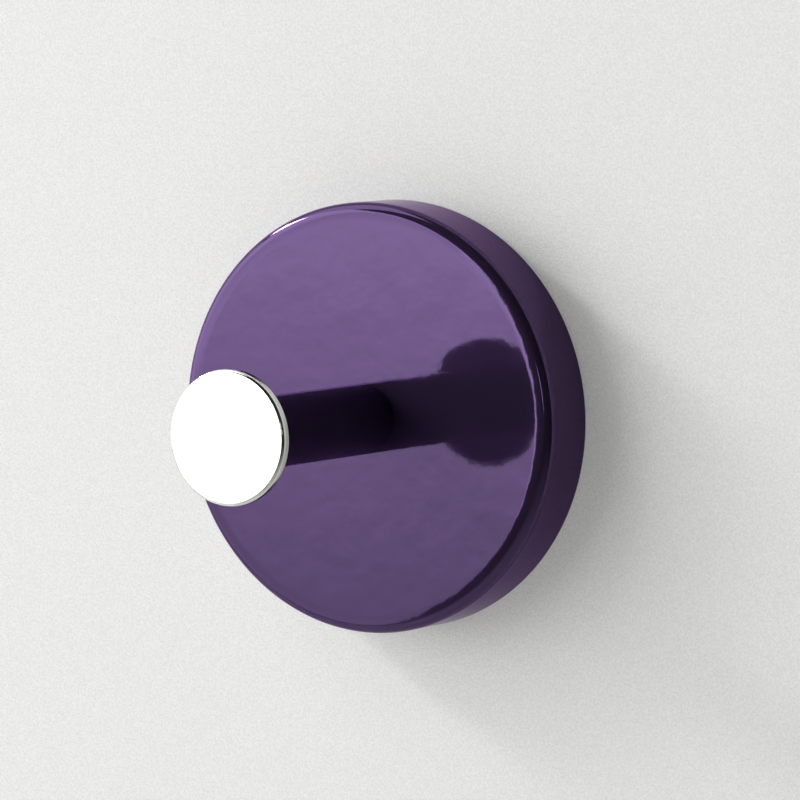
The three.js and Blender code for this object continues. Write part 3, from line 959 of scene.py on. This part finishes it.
def pane_radiance(tree):
    """The pane's radiance at each height, from the listed pairs and straight between them."""
    shares, radiances = zip(*PANE_RADIANCES)
    heights = [share * WINDOW_DISTANCE for share in shares]
    brightest = max(radiances)
    place = add(tree, "ShaderNodeTexCoord").outputs["Object"]
    split = add(tree, "ShaderNodeSeparateXYZ", {"Vector": place})
    share = add(tree, "ShaderNodeMapRange", {
        "Value": split.outputs["Z"], "From Min": heights[0], "From Max": heights[-1]})
    ramp = add(tree, "ShaderNodeValToRGB", {"Fac": share.outputs["Result"]})
    stops = ramp.color_ramp.elements
    # The missing stops are made half way along and then moved to their places.
    while len(stops) < len(heights):
        stops.new(0.5)
    for stop, height, radiance in zip(stops, heights, radiances):
        stop.position = (height - heights[0]) / (heights[-1] - heights[0])
        stop.color = (*[radiance / brightest] * 3, 1)
    return add(tree, "ShaderNodeMath", {
        0: ramp.outputs["Color"], 1: brightest}, operation="MULTIPLY").outputs[0]


def window():
    """A tall window at the left. The face mirrors its pane straight to the camera, so the pane's
    fade from top to bottom is the fade that the face shows. Its bright frame reaches beyond the
    pane, where mostly the rose's rounded edge mirrors it."""
    back = Vector((-math.sin(WINDOW_AZIMUTH), -math.cos(WINDOW_AZIMUTH), 0))
    right = Vector((0, 0, 1)).cross(back)
    frame_distance = WINDOW_DISTANCE + WINDOW_FRAME_SETBACK
    for name, shares, distance, radiance in (
            ("window_frame", WINDOW_FRAME, frame_distance, FRAME_RADIANCE),
            ("window_pane", WINDOW_PANE, WINDOW_DISTANCE, pane_radiance)):
        corners = [tuple((back + right * x + Vector((0, 0, z))) * distance) for x, z in shares]
        panel = sheet(name, corners, glowing(name + "_light", radiance))
        facing(panel.data, -back)
        panel.visible_camera = False


def room():
    """A dim room before the wall. The camera sees it pale. Mirrors and clear pieces see the same
    pale backdrop behind the wall, and before it the dim room, which the photograph's dark
    reflections show."""
    world = bpy.data.worlds.new("room")
    bpy.context.scene.world = world
    world.use_nodes = True
    tree = world.node_tree
    tree.nodes.clear()
    direction = add(tree, "ShaderNodeTexCoord").outputs["Generated"]
    dim = add(tree, "ShaderNodeBackground", {
        "Color": linear("#ffffff"), "Strength": ROOM_LIGHT})
    pale = add(tree, "ShaderNodeBackground", {
        "Color": linear(BACKDROP_COLOUR), "Strength": 1.0})
    both = add(tree, "ShaderNodeMixShader", {
        0: seen(tree, direction), 1: dim.outputs[0], 2: pale.outputs[0]})
    add(tree, "ShaderNodeOutputWorld", {"Surface": both.outputs[0]})


def lamps():
    """A bright key at the upper left, a broad soft lamp above it and a tall one below it, a small
    lamp in front, and two soft lamps behind the wall that light only what is seen from behind."""
    for name, (direction, distance, size, radiance) in LAMPS.items():
        soft_lamp(name, direction, distance, size, radiance)


bpy.context.scene.view_settings.view_transform = "Standard"
set_camera()
wall()
floor()
window()
room()
lamps()

purple = candy_lacquer()
dressed(rose_piece(), "rose", purple)
dressed(peg_piece(), "peg", purple)
dressed(cap_piece(), "end_cap", chrome())
# Zinc die casting, plated and passivated: satin, with the faint bloom of the passivation.
zinc = grained_metal(
    "satin_zinc_plate", "#c8cacb", "#b3b6ba", roughness=0.38, grain=0.35, spot=5)
# Cold-headed and rolled steel with a bright plating: a softened mirror with small clouds.
steel = grained_metal(
    "bright_plated_steel", "#d2d2cf", "#bdbcb6", roughness=0.24, grain=0.2, spot=2.5)
# Hardened steel with a black oxide, oiled: nearly black, with a dull sheen.
black = grained_metal(
    "black_oxide_steel", "#3c3b3d", "#2b2a2c", roughness=0.42, grain=0.2, spot=2)
nylon = grey_nylon()
dressed(plate_piece(), "wall_plate", zinc)
for side in LEFT_RIGHT:
    dressed(wall_screw_piece(side), "wall_screw_" + side, steel)
for side in LEFT_RIGHT:
    dressed(plug_piece(side), "wall_plug_" + side, nylon)
dressed(peg_screw_piece(), "peg_screw", steel)
plain_washer = washer("plain_washer_steel", "plain_washer")
dressed(plain_washer, "plain_washer", steel)
dressed(spring_washer_piece(), "spring_washer", steel)
dressed(grub_piece(), "grub_screw", black)
